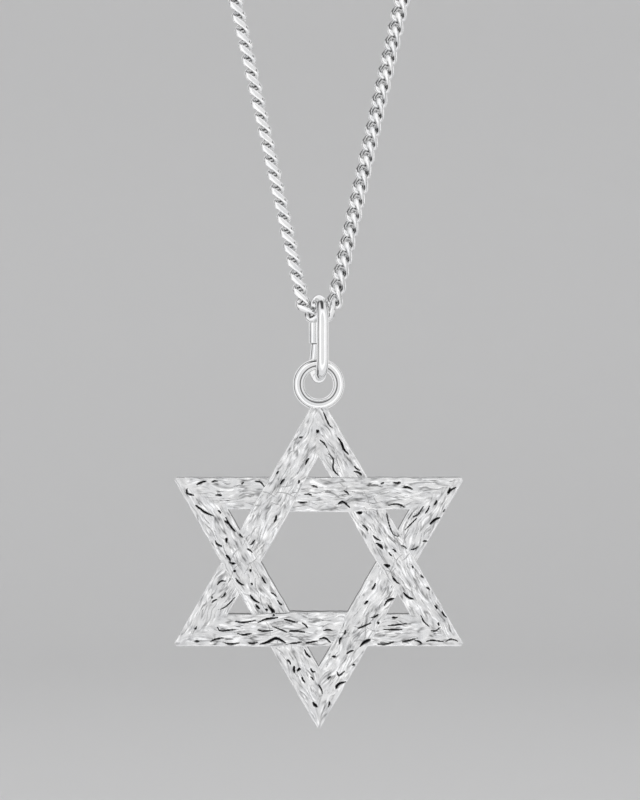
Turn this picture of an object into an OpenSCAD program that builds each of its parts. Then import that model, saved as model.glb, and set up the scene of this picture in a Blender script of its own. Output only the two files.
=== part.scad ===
// Six-pointed star pendant of woven bars, hanging by a ring and an oval bail on a fine chain.
// Millimetres. +Z is up and the star's front faces -Y. The origin is where the necklace hangs:
// the underside of the clasp, at the top of the loop.

/* [Star] */
// Distance from the centre of the star to the tip of a sharp point
star_r = 14; // [13:0.5:18]
// Width of a bar beside the hexagon in the middle
bar_w = 2.85; // [2.2:0.05:3.4]
// Width of a bar in the points, beside the small eyelets
point_w = 2.65; // [2:0.05:3.1]
// Thickness of the bars where none crosses
star_t = 1.35; // [1:0.05:1.7]
// Step between a bar and the bar that it passes over
weave_rise = 0.3; // [0.1:0.05:0.4]
// Width of the rim left along both edges of a raised bar
rim_w = 0.12; // [0.06:0.02:0.3]
// Length worn off each sharp point
tip_trim = 0.28; // [0.1:0.02:0.6]

/* [Hanging ring] */
// Inner diameter of the ring on the star
ring_hole_d = 2.4; // [2.2:0.1:3.4]
// Thickness of the ring's wire
ring_wire = 0.95; // [0.7:0.05:1.2]
// How far the ring bites into the top point
ring_bite = 1.42; // [1:0.02:2.2]

/* [Bail] */
// Thickness of the bail's wire
bail_wire = 1; // [0.7:0.05:1.1]
// Height of the bail outside
bail_h = 7.35; // [6:0.05:9]
// Width of the bail outside
bail_w = 4.2; // [4:0.1:5.4]
// Turn of the bail about the vertical
bail_yaw = 12; // [0:1:25]
// Space between the bail and the chain that carries it
bail_gap = 0.15; // [0.1:0.05:0.4]
// Space between the star's ring and the bail that carries it
ring_gap = 0.12; // [0.08:0.02:0.3]

/* [Chain] */
// Length of the whole necklace, clasp included
necklace_len = 457; // [400:1:610]
// Thickness of the chain
chain_d = 1.3; // [1:0.05:1.5]
// Lean of each side of the chain from the vertical
strand_lean = 12.6; // [8:0.2:20]

/* [Clasp] */
// Outer diameter of the round clasp
clasp_d = 5; // [4.5:0.5:9]
// Thickness of the clasp's ring
clasp_wire = 1.1; // [0.8:0.1:1.6]
// Outer diameter of the eye at each end of the clasp
eye_d = 2.2; // [1.8:0.1:3]
// Thickness of the wire of an eye
eye_wire = 0.6; // [0.4:0.1:0.7]
// Space between an eye and the chain's end
end_gap = 0.15; // [0.1:0.05:0.4]

/* [Hidden] */

// Sides of the chain's section, and of the rounds that stay true circles
CHAIN_SIDES = 8;
ROUND = 48;
// Steps of the chain's route along one side of the neck arc, one strand and the small bend
NECK_STEPS = 18;
STRAND_STEPS = 15;
BEND_STEPS = 10;

// Plan of the star: each bar's outer edge lies half the tip distance from the centre
edge_z = star_r / 2;
// Far corner of an eyelet, and how far its other corners lie to each side
eyelet_top_z = 2 * (edge_z - point_w);
eyelet_side_x = (eyelet_top_z - edge_z) * tan(30);
hexagon_r = (edge_z - bar_w) / cos(30);
// Places along a bar: where the crossing bar begins and ends, and where its eyelet ends
cross_from_x = (edge_z / 2 - bar_w) / cos(30);
cross_to_x = (edge_z + point_w) / 2 / cos(30);
eyelet_end_x = star_r * cos(30) - point_w * tan(60);
// The flat back lies a little further from the middle than the front, which the weave evens out
back_y = (star_t + weave_rise / 2) / 2;
front_y = back_y - star_t;

// Ring and bail
ring_mid_r = (ring_hole_d + ring_wire) / 2;
ring_out_r = ring_mid_r + ring_wire / 2;
bail_mid_r = (bail_w - bail_wire) / 2;
bail_leg = bail_h - bail_w;

// Loop of the chain: a small bend round the bail, two straight strands and a wide arc round the neck
bend_r = bail_wire / 2 + bail_gap + chain_d / 2;
lean_rad = strand_lean * PI / 180;
centres_apart = (necklace_len - 2 * PI * bend_r)
    / (2 * cos(strand_lean) + sin(strand_lean) * (PI + 2 * lean_rad));
neck_r = bend_r + centres_apart * sin(strand_lean);

// Clasp: the eyes' wire runs into the ring's wire
clasp_mid_r = (clasp_d - clasp_wire) / 2;
eye_mid_r = (eye_d - eye_wire) / 2;
eye_x = clasp_mid_r + eye_mid_r;
clasp_reach = eye_x + eye_d / 2;
clasp_half_angle = asin((clasp_reach + end_gap) / neck_r);

// Heights, from the underside of the clasp down to the star
clasp_z = clasp_d / 2;
neck_z = clasp_z - neck_r * cos(clasp_half_angle);
bend_z = neck_z - centres_apart;
bail_foot_z = bend_z - (bail_h - bail_wire);
ring_z = bail_foot_z + bail_wire / 2 + ring_gap + ring_wire / 2 - ring_mid_r;
star_z = ring_z - ring_out_r + ring_bite - star_r;

// A round wire bent to a full ring that stands in the XZ plane
module wire_ring(mid_r, wire) {
    rotate([90, 0, 0])
        rotate_extrude($fn = ROUND)
            translate([mid_r, 0])
                circle(d = wire, $fn = ROUND);
}

// Half a wire ring in the YZ plane, arched upwards
module wire_arch(mid_r, wire) {
    rotate([90, 0, 90])
        rotate_extrude(angle = 180, $fn = ROUND)
            translate([mid_r, 0])
                circle(d = wire, $fn = ROUND);
}

// A point of the plan turned about the star's centre
function turned(p, a) = [p[0] * cos(a) - p[1] * sin(a), p[0] * sin(a) + p[1] * cos(a)];

// Outline of the star with blunt points, the hexagon in the middle and an eyelet in each point
module star_outline() {
    blunt = [tip_trim * tan(30), star_r - tip_trim];
    notch = [edge_z * tan(30), edge_z];
    sixth = [[blunt[0], blunt[1]], notch, turned([-blunt[0], blunt[1]], -60)];
    eyelet = [[-eyelet_side_x, edge_z], [eyelet_side_x, edge_z], [0, eyelet_top_z]];
    rim = [for (k = [0:5]) for (p = sixth) turned(p, -60 * k)];
    hexagon = [for (k = [0:5]) turned([hexagon_r, 0], 60 * k)];
    eyelets = [for (k = [0:5]) for (p = eyelet) turned(p, 60 * k)];
    rim_end = len(rim);
    hexagon_end = rim_end + len(hexagon);
    polygon(
        points = concat(rim, hexagon, eyelets),
        paths = concat(
            [[for (i = [0:rim_end - 1]) i], [for (i = [rim_end:hexagon_end - 1]) i]],
            [for (k = [0:5]) [for (i = [0:2]) hexagon_end + 3 * k + i]]
        )
    );
}

// Plan of the raised stretch of the top bar, from the hexagon's middle over the next bar to the eyelet's end
module raised_outline() {
    polygon([
        [-cross_from_x, edge_z - rim_w],
        [eyelet_end_x, edge_z - rim_w],
        [eyelet_end_x, edge_z - point_w + rim_w],
        [cross_to_x, edge_z - point_w + rim_w],
        [hexagon_r / 2, edge_z - bar_w + rim_w],
        [-cross_from_x, edge_z - bar_w + rim_w]
    ]);
}

// Section along that stretch: it slopes up from the flat front, is level over the next bar and slopes down
module raised_section() {
    polygon([
        [-cross_from_x, 0],
        [-cross_from_x, front_y],
        [cross_from_x, front_y - weave_rise],
        [cross_to_x, front_y - weave_rise],
        [eyelet_end_x, front_y],
        [eyelet_end_x, 0]
    ]);
}

module raised_bar() {
    intersection() {
        rotate([90, 0, 0])
            linear_extrude(height = 4 * star_t, center = true)
                raised_outline();
        linear_extrude(height = 2 * star_r, center = true)
            raised_section();
    }
}

// Six bars in a ring, each raised where it passes over the next one
module woven_star() {
    translate([0, back_y, 0])
        rotate([90, 0, 0])
            linear_extrude(height = star_t)
                star_outline();
    for (turn = [0:60:300])
        rotate([0, turn, 0])
            raised_bar();
}

module star() {
    color("silver") {
        difference() {
            translate([0, 0, star_z])
                woven_star();
            translate([0, 0, ring_z])
                rotate([90, 0, 0])
                    cylinder(r = ring_out_r - ring_wire / 5, h = 4 * star_t, center = true, $fn = ROUND);
        }
        translate([0, 0, ring_z])
            wire_ring(ring_mid_r, ring_wire);
    }
}

module bail() {
    color("gainsboro")
        translate([0, 0, bend_z - bail_mid_r])
            rotate([0, 0, bail_yaw]) {
                wire_arch(bail_mid_r, bail_wire);
                translate([0, 0, -bail_leg])
                    mirror([0, 0, 1])
                        wire_arch(bail_mid_r, bail_wire);
                for (side = [-1, 1])
                    translate([0, side * bail_mid_r, -bail_leg])
                        cylinder(d = bail_wire, h = bail_leg, $fn = ROUND);
            }
}

// Route of the chain, clockwise from the clasp: each station is [x, z, angle of its outward side]
function arc_stations(z, r, first, last, steps) = [
    for (i = [0:steps])
        let (a = first + (last - first) * i / steps)
            [r * cos(a), z + r * sin(a), a]
];

function strand_stations(from, to, steps) = [
    for (i = [1:steps - 1])
        let (share = i / steps)
            [for (k = [0:2]) from[k] + (to[k] - from[k]) * share]
];

right_neck = arc_stations(neck_z, neck_r, 90 - clasp_half_angle, -strand_lean, NECK_STEPS);
small_bend = arc_stations(bend_z, bend_r, -strand_lean, -180 + strand_lean, BEND_STEPS);
left_neck = arc_stations(neck_z, neck_r, -180 + strand_lean, -270 + clasp_half_angle, NECK_STEPS);
chain_route = concat(
    right_neck,
    strand_stations(right_neck[NECK_STEPS], small_bend[0], STRAND_STEPS),
    small_bend,
    strand_stations(small_bend[BEND_STEPS], left_neck[0], STRAND_STEPS),
    left_neck
);

module chain() {
    stations = len(chain_route);
    corners = [
        for (s = chain_route)
            for (j = [0:CHAIN_SIDES - 1])
                let (a = 360 * j / CHAIN_SIDES, out = chain_d / 2 * cos(a))
                    [s[0] + out * cos(s[2]), chain_d / 2 * sin(a), s[1] + out * sin(s[2])]
    ];
    walls = [
        for (i = [0:stations - 2])
            for (j = [0:CHAIN_SIDES - 1])
                let (next = (j + 1) % CHAIN_SIDES, here = i * CHAIN_SIDES, there = here + CHAIN_SIDES)
                    [here + j, here + next, there + next, there + j]
    ];
    first_end = [for (j = [0:CHAIN_SIDES - 1]) CHAIN_SIDES - 1 - j];
    last_end = [for (j = [0:CHAIN_SIDES - 1]) (stations - 1) * CHAIN_SIDES + j];
    color("lightgray")
        polyhedron(points = corners, faces = concat([first_end], walls, [last_end]));
}

module clasp() {
    color("darkgray")
        translate([0, 0, clasp_z]) {
            wire_ring(clasp_mid_r, clasp_wire);
            for (side = [-1, 1])
                translate([side * eye_x, 0, 0])
                    wire_ring(eye_mid_r, eye_wire);
        }
}

star();
bail();
chain();
clasp();
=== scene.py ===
import math

import bmesh
import bpy
import numpy as np
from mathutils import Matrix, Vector
from mathutils.geometry import tessellate_polygon


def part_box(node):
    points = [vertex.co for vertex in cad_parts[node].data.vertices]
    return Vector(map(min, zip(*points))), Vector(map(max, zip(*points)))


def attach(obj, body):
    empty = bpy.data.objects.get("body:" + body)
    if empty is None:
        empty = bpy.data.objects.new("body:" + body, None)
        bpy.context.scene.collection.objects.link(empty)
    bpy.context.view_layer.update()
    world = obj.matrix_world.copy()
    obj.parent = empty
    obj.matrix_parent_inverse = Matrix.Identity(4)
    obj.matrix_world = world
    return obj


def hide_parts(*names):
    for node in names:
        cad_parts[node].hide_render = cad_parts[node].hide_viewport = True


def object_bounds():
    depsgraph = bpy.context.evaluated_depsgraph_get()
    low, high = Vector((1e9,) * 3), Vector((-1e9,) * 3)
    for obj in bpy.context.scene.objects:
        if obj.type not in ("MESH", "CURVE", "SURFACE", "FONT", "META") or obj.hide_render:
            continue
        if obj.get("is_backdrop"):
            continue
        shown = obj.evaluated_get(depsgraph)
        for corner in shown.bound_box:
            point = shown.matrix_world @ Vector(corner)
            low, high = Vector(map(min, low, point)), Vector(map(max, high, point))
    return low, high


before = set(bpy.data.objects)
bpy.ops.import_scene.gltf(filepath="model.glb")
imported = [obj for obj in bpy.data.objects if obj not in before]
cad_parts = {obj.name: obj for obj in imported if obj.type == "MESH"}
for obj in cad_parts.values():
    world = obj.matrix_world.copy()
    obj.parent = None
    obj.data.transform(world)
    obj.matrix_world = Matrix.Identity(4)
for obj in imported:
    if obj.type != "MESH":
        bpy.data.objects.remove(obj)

bl_info = {
    "name": "Woven Star Necklace",
    "version": (1, 0, 0),
    "blender": (4, 5, 0),
    "location": "View3D > Sidebar > Necklace",
    "description": "Builds a woven six-pointed star with a bark finish on its ring, bail and curb chain",
    "category": "Add Mesh",
}

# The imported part's own box, kept from before anything is added to it
CAD_LOW, CAD_HIGH = (list(corner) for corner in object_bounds())
STAR_LOW, STAR_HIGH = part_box("star")
BAIL_LOW, BAIL_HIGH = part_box("bail")
CHAIN_LOW, CHAIN_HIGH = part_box("chain")
CLASP_LOW, CLASP_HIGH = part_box("clasp")

# Meshes are worked out in millimetres and stored in metres
MM = 0.001
COS30 = math.cos(math.radians(30))
TAN30 = math.tan(math.radians(30))


def length(name, description, default):
    """A size in metres that shows as a distance in the panel."""
    return bpy.props.FloatProperty(
        name=name,
        description=description,
        default=default,
        min=0.0,
        unit="LENGTH",
        subtype="DISTANCE",
        precision=6,
    )


def angle(name, description, degrees):
    """An angle that shows in degrees in the panel."""
    return bpy.props.FloatProperty(
        name=name, description=description, default=math.radians(degrees), subtype="ANGLE"
    )


def whole(name, description, default, least):
    """A whole number that isn't below the least one."""
    return bpy.props.IntProperty(name=name, description=description, default=default, min=least)


def tint(name, description, default):
    """A colour of a surface."""
    return bpy.props.FloatVectorProperty(
        name=name, description=description, default=default, size=3, min=0.0, max=1.0, subtype="COLOR"
    )


def share(name, description, default):
    """A plain factor between nothing and one."""
    return bpy.props.FloatProperty(
        name=name, description=description, default=default, min=0.0, max=1.0, subtype="FACTOR"
    )


class StarSettings(bpy.types.PropertyGroup):
    radius: length("Star radius", "Distance from the star's centre to the tip of a sharp point", 0.014)
    bar_width: length("Bar width", "Width of a bar beside the hexagon", 0.00285)
    point_width: length("Point width", "Width of a bar in the points, beside the eyelets", 0.00265)
    front: length("Front depth", "How far the flat front lies before the middle", 0.0006)
    back: length("Back depth", "How far the flat back lies behind the middle", 0.00075)
    weave_rise: length("Weave rise", "Step between a bar and the bar that it passes over", 0.0003)
    tip_trim: length("Tip wear", "Length worn off each sharp point", 0.00028)
    grid: length("Grid", "Distance between neighbouring points of the carved front", 0.000066)
    edge_round: length("Edge round", "Radius of the worn edges of the front", 0.00009)
    edge_sway: length("Edge sway", "How far the cast edges wander from straight", 0.00003)
    cut_depth: length("Cut depth", "Depth of the deepest cuts", 0.00016)
    lip_height: length("Lip height", "Height of the lips pushed up beside the cuts", 0.000022)
    fibre_depth: length("Fibre depth", "Depth of the fine wavy lines of the bark", 0.00006)
    faint_cut: share("Faint cut", "Depth and blackness of the fainter cuts", 0.5)
    faint_count: whole("Faint cuts", "Fainter cuts along each bar", 24, 2)
    faint_seed: whole("Faint cuts' seed", "Start of their random places", 19, 0)


class RingSettings(bpy.types.PropertyGroup):
    hole: length("Ring hole", "Inner diameter of the ring on the star", 0.0024)
    wire: length("Ring wire", "Thickness of the ring's wire", 0.00095)
    bail_wire: length("Bail wire", "Thickness of the bail's wire", 0.001)
    bail_width: length("Bail width", "Width of the bail outside", 0.0042)
    bail_turn: angle("Bail turn", "Turn of the bail about the vertical", 12)
    seam_drop: length("Seam drop", "How far below the bail's top its wire's ends meet", 0.00402)
    seam_gap: length("Seam gap", "Gap between the ends of the bail's wire", 0.00004)
    seam_step: length("Seam step", "How far the lower end lies beside the upper one", 0.00016)


class ChainSettings(bpy.types.PropertyGroup):
    pitch: length("Link pitch", "Length of chain that one link adds", 0.00122)
    wire: length("Link wire", "Thickness of a link's wire", 0.00047)
    half_width: length("Link half width", "From a link's middle to the middle of its wire", 0.00053)
    twist: angle("Link twist", "Turn of a link's end out of its middle", 80)
    lean: angle("Strand lean", "Lean of each side of the chain", 12.6)
    flat: length("Link flats", "From the chain's middle to the flats ground on its four sides", 0.00056)
    flat_turn: angle("Flats' turn", "Turn of the flats from a link's own plane", 12)
    bend_radius: length("Bend radius", "Radius of the chain's small bend under the bail", 0.0013)


class ClaspSettings(bpy.types.PropertyGroup):
    diameter: length("Clasp diameter", "Outer diameter of the round clasp", 0.00499)
    wire: length("Clasp wire", "Thickness of the clasp's tube", 0.0011)
    eye: length("Eye diameter", "Outer diameter of the eye at each end", 0.0022)
    eye_wire: length("Eye wire", "Thickness of the wire of an eye", 0.0006)


class MetalSettings(bpy.types.PropertyGroup):
    silver: tint("Silver", "Colour of the bright metal", (0.93, 0.93, 0.925))
    silver_shade: tint("Silver shade", "Colour of the slightly duller patches", (0.84, 0.845, 0.85))
    # Dark colour of the marks: painted shade in the star's cuts and creases, the ring's groove and the
    # links' cores, a darker random haze on the star, and oxide at the bail's seam
    soot: tint("Oxide", "Colour of the blackened cuts", (0.012, 0.012, 0.013))
    bark_roughness: share("Bark roughness", "Roughness of the carved front", 0.2)
    polish_roughness: share("Polish roughness", "Roughness of the polished wires", 0.09)


class StageSettings(bpy.types.PropertyGroup):
    floor: tint("Floor", "Colour of the floor and its sweep", (0.66, 0.66, 0.66))
    floor_drop: length("Floor drop", "How far the floor lies below the star", 0.22)
    room_radius: length("Room radius", "Distance from the necklace to the sweep's wall", 2.6)
    lens: bpy.props.FloatProperty(
        name="Lens", description="Focal length in millimetres", default=100.0, min=20.0
    )
    view_height: length("View height", "Height of the field that the camera sees at the star", 0.06628)
    view_x: bpy.props.FloatProperty(
        name="View centre X",
        description="Place of the picture's middle along X",
        default=0.000108,
        precision=6,
    )
    view_z: bpy.props.FloatProperty(
        name="View centre Z",
        description="Place of the picture's middle along Z",
        default=-0.206873,
        precision=6,
    )


class Grain:
    """Smooth random relief over a plane, the same for the same seed, between about -1 and 1."""

    def __init__(self, seed):
        source = np.random.default_rng(seed)
        self.order = source.permutation(256)
        slopes = source.uniform(0, 2 * math.pi, 256)
        self.slope_u, self.slope_v = np.cos(slopes), np.sin(slopes)

    def corner(self, iu, iv, du, dv):
        pick = self.order[(self.order[iu & 255] + iv) & 255]
        return self.slope_u[pick] * du + self.slope_v[pick] * dv

    def __call__(self, u, v):
        iu, iv = np.floor(u).astype(int), np.floor(v).astype(int)
        du, dv = u - iu, v - iv
        su, sv = du * du * du * (du * (du * 6 - 15) + 10), dv * dv * dv * (dv * (dv * 6 - 15) + 10)
        low = self.corner(iu, iv, du, dv) * (1 - su) + self.corner(iu + 1, iv, du - 1, dv) * su
        high_left = self.corner(iu, iv + 1, du, dv - 1)
        high_right = self.corner(iu + 1, iv + 1, du - 1, dv - 1)
        high = high_left * (1 - su) + high_right * su
        return (low * (1 - sv) + high * sv) * 1.5


def ease(x, start, end):
    """Rises smoothly from 0 at start to 1 at end."""
    t = np.clip((x - start) / (end - start), 0, 1)
    return t * t * (3 - 2 * t)


def new_object(name, points, faces, materials, smooth_angle, face_materials=None, marks=None):
    """A mesh object from points in millimetres, with a float mark per point for the darkened places."""
    mesh = bpy.data.meshes.new(name)
    mesh.from_pydata((np.asarray(points, float) * MM).tolist(), [], faces)
    for material in materials:
        mesh.materials.append(material)
    if face_materials is not None:
        mesh.polygons.foreach_set("material_index", face_materials)
    for label, values in (marks or {}).items():
        layer = mesh.attributes.new(label, "FLOAT", "POINT")
        layer.data.foreach_set("value", np.asarray(values, np.float32))
    mesh.validate()
    skin = bmesh.new()
    skin.from_mesh(mesh)
    bmesh.ops.recalc_face_normals(skin, faces=skin.faces)
    skin.to_mesh(mesh)
    skin.free()
    mesh.shade_smooth()
    mesh.set_sharp_from_angle(angle=math.radians(smooth_angle))
    made = bpy.data.objects.new(name, mesh)
    bpy.context.scene.collection.objects.link(made)
    return made


# Metal


def node(tree, kind, **values):
    """A shader node with its settings and the fixed values of its sockets."""
    made = tree.nodes.new(kind)
    for key, value in values.items():
        if key.startswith("in_"):
            made.inputs[key[3:].replace("_", " ")].default_value = value
        else:
            setattr(made, key, value)
    return made


def metal(name, roughness, oxide_and_shade_mark, grain_size, dent, polish_lines):
    """Silver with duller patches, fine polishing lines and a dark colour where the mark says: painted
    shade, and oxide at the bail's seam.
    """
    s = bpy.context.scene.necklace_metal
    dull_until, bright_from = 0.35, 0.62
    smoothest, roughest, marked_roughness = 0.75, 1.35, 0.45
    brush_share = 0.35
    made = bpy.data.materials.new(name)
    made.use_nodes = True
    tree = made.node_tree
    links = tree.links.new
    shader = tree.nodes["Principled BSDF"]
    shader.inputs["Metallic"].default_value = 1.0
    place = node(tree, "ShaderNodeTexCoord")
    patches = node(tree, "ShaderNodeTexNoise", in_Scale=1 / (grain_size * 9), in_Detail=3.0)
    fine = node(tree, "ShaderNodeTexNoise", in_Scale=1 / grain_size, in_Detail=4.0, in_Roughness=0.6)
    lines = node(tree, "ShaderNodeMapping", in_Scale=polish_lines)
    scratches = node(tree, "ShaderNodeTexNoise", in_Scale=1.0, in_Detail=2.0)
    links(place.outputs["Object"], patches.inputs["Vector"])
    links(place.outputs["Object"], fine.inputs["Vector"])
    links(place.outputs["Object"], lines.inputs["Vector"])
    links(lines.outputs["Vector"], scratches.inputs["Vector"])
    ramp = node(tree, "ShaderNodeValToRGB")
    ramp.color_ramp.elements[0].position = dull_until
    ramp.color_ramp.elements[0].color = (*s.silver_shade, 1)
    ramp.color_ramp.elements[1].position = bright_from
    ramp.color_ramp.elements[1].color = (*s.silver, 1)
    links(patches.outputs["Fac"], ramp.inputs["Fac"])
    # Marked places mix in the dark colour and grow rougher: painted shade, and oxide at the bail's seam
    mark = node(tree, "ShaderNodeAttribute", attribute_name=oxide_and_shade_mark)
    dark = node(tree, "ShaderNodeMix", data_type="RGBA")
    links(mark.outputs["Fac"], dark.inputs["Factor"])
    links(ramp.outputs["Color"], dark.inputs[6])
    dark.inputs[7].default_value = (*s.soot, 1)
    links(dark.outputs[2], shader.inputs["Base Color"])
    spread = node(tree, "ShaderNodeMapRange")
    spread.inputs["To Min"].default_value = roughness * smoothest
    spread.inputs["To Max"].default_value = roughness * roughest
    links(scratches.outputs["Fac"], spread.inputs["Value"])
    rough = node(tree, "ShaderNodeMath", operation="MULTIPLY_ADD")
    rough.inputs[1].default_value = marked_roughness
    links(mark.outputs["Fac"], rough.inputs[0])
    links(spread.outputs["Result"], rough.inputs[2])
    links(rough.outputs["Value"], shader.inputs["Roughness"])
    bump = node(tree, "ShaderNodeBump", in_Strength=1.0, in_Distance=dent)
    links(fine.outputs["Fac"], bump.inputs["Height"])
    brush = node(tree, "ShaderNodeBump", in_Strength=1.0, in_Distance=dent * brush_share)
    links(scratches.outputs["Fac"], brush.inputs["Height"])
    links(bump.outputs["Normal"], brush.inputs["Normal"])
    links(brush.outputs["Normal"], shader.inputs["Normal"])
    return made


def silver(name):
    """One of the four finishes of the necklace, made once."""
    if name in bpy.data.materials:
        return bpy.data.materials[name]
    s = bpy.context.scene.necklace_metal
    if name == "cast_bark":
        return metal(name, s.bark_roughness, "soot", 0.00009, 0.000004, (5000, 5000, 5000))
    if name == "link_wire":
        return metal(name, s.polish_roughness * 2.2, "soot", 0.00012, 0.000003, (9000, 9000, 2500))
    if name == "brushed_back":
        return metal(name, s.polish_roughness * 2.6, "soot", 0.00025, 0.000012, (260, 260, 5200))
    return metal(name, s.polish_roughness, "soot", 0.0003, 0.000004, (2500, 2500, 12000))


# Star


class StarPlan:
    """Sizes of the star in millimetres, in the plan of its top bar: x along the bar, z across it."""

    def __init__(self):
        s = bpy.context.scene.necklace_star
        r = bpy.context.scene.necklace_ring
        self.radius = s.radius / MM
        self.edge = self.radius / 2
        self.bar_inner = self.edge - s.bar_width / MM
        self.point_inner = self.edge - s.point_width / MM
        self.hexagon_x = self.bar_inner * TAN30
        self.eyelet_x = (self.point_inner - self.edge / 2) / COS30
        self.cross_end_x = (self.edge - self.point_inner / 2) / COS30
        self.bar_end_x = self.point_inner / TAN30
        self.trimmed = self.radius - s.tip_trim / MM
        self.front, self.back, self.rise = s.front / MM, s.back / MM, s.weave_rise / MM
        self.grid, self.edge_round, self.edge_sway = s.grid / MM, s.edge_round / MM, s.edge_sway / MM
        self.cut_depth, self.lip_height = s.cut_depth / MM, s.lip_height / MM
        self.fibre_depth = s.fibre_depth / MM
        self.faint, self.faint_count, self.faint_seed = s.faint_cut, s.faint_count, s.faint_seed
        self.ring_wire = r.wire / MM
        self.ring_mid = (r.hole / MM + self.ring_wire) / 2
        self.ring_z = STAR_HIGH.z / MM - self.ring_mid - self.ring_wire / 2
        self.centre_z = STAR_LOW.z / MM + self.trimmed
        self.ring_above = self.ring_z - self.centre_z
        self.ring_cut = self.ring_mid + 0.3 * self.ring_wire

    def inner_edge(self, x):
        """Height of the bar's inner edge at x: lower beside the hexagon than in the points."""
        return np.interp(np.abs(x), [self.hexagon_x, self.cross_end_x], [self.bar_inner, self.point_inner])

    def end_x(self, z, at_ring):
        """How far the bar reaches at height z: to the mitre, the worn tip or the hanging ring."""
        mitre = z / TAN30
        if not at_ring:
            return min(mitre, (self.trimmed - z / 2) / COS30)
        ring_x, ring_z = self.ring_above * COS30, self.ring_above / 2
        below = abs(z - ring_z)
        if below >= self.ring_cut:
            return mitre
        return min(mitre, ring_x - math.sqrt(self.ring_cut**2 - below**2))

    def covered(self, z):
        """Stretch of the bar at height z that lies under the bar crossing over it."""
        along, across = self.hexagon_x - self.eyelet_x, self.edge - self.bar_inner
        return -(self.edge - z / 2) / COS30, -self.eyelet_x - (self.edge - z) * along / across

    def lift(self, x):
        """How far the bar rises over the next one at x."""
        start = (self.bar_inner - self.edge / 2) / COS30
        return self.rise * np.interp(x, [-start, start, self.cross_end_x, self.bar_end_x], [0, 1, 1, 0])


def turned_plan(x, z, turns):
    """A plan point turned clockwise by sixths of a turn."""
    a = math.radians(60 * turns)
    return x * math.cos(a) + z * math.sin(a), -x * math.sin(a) + z * math.cos(a)
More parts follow.
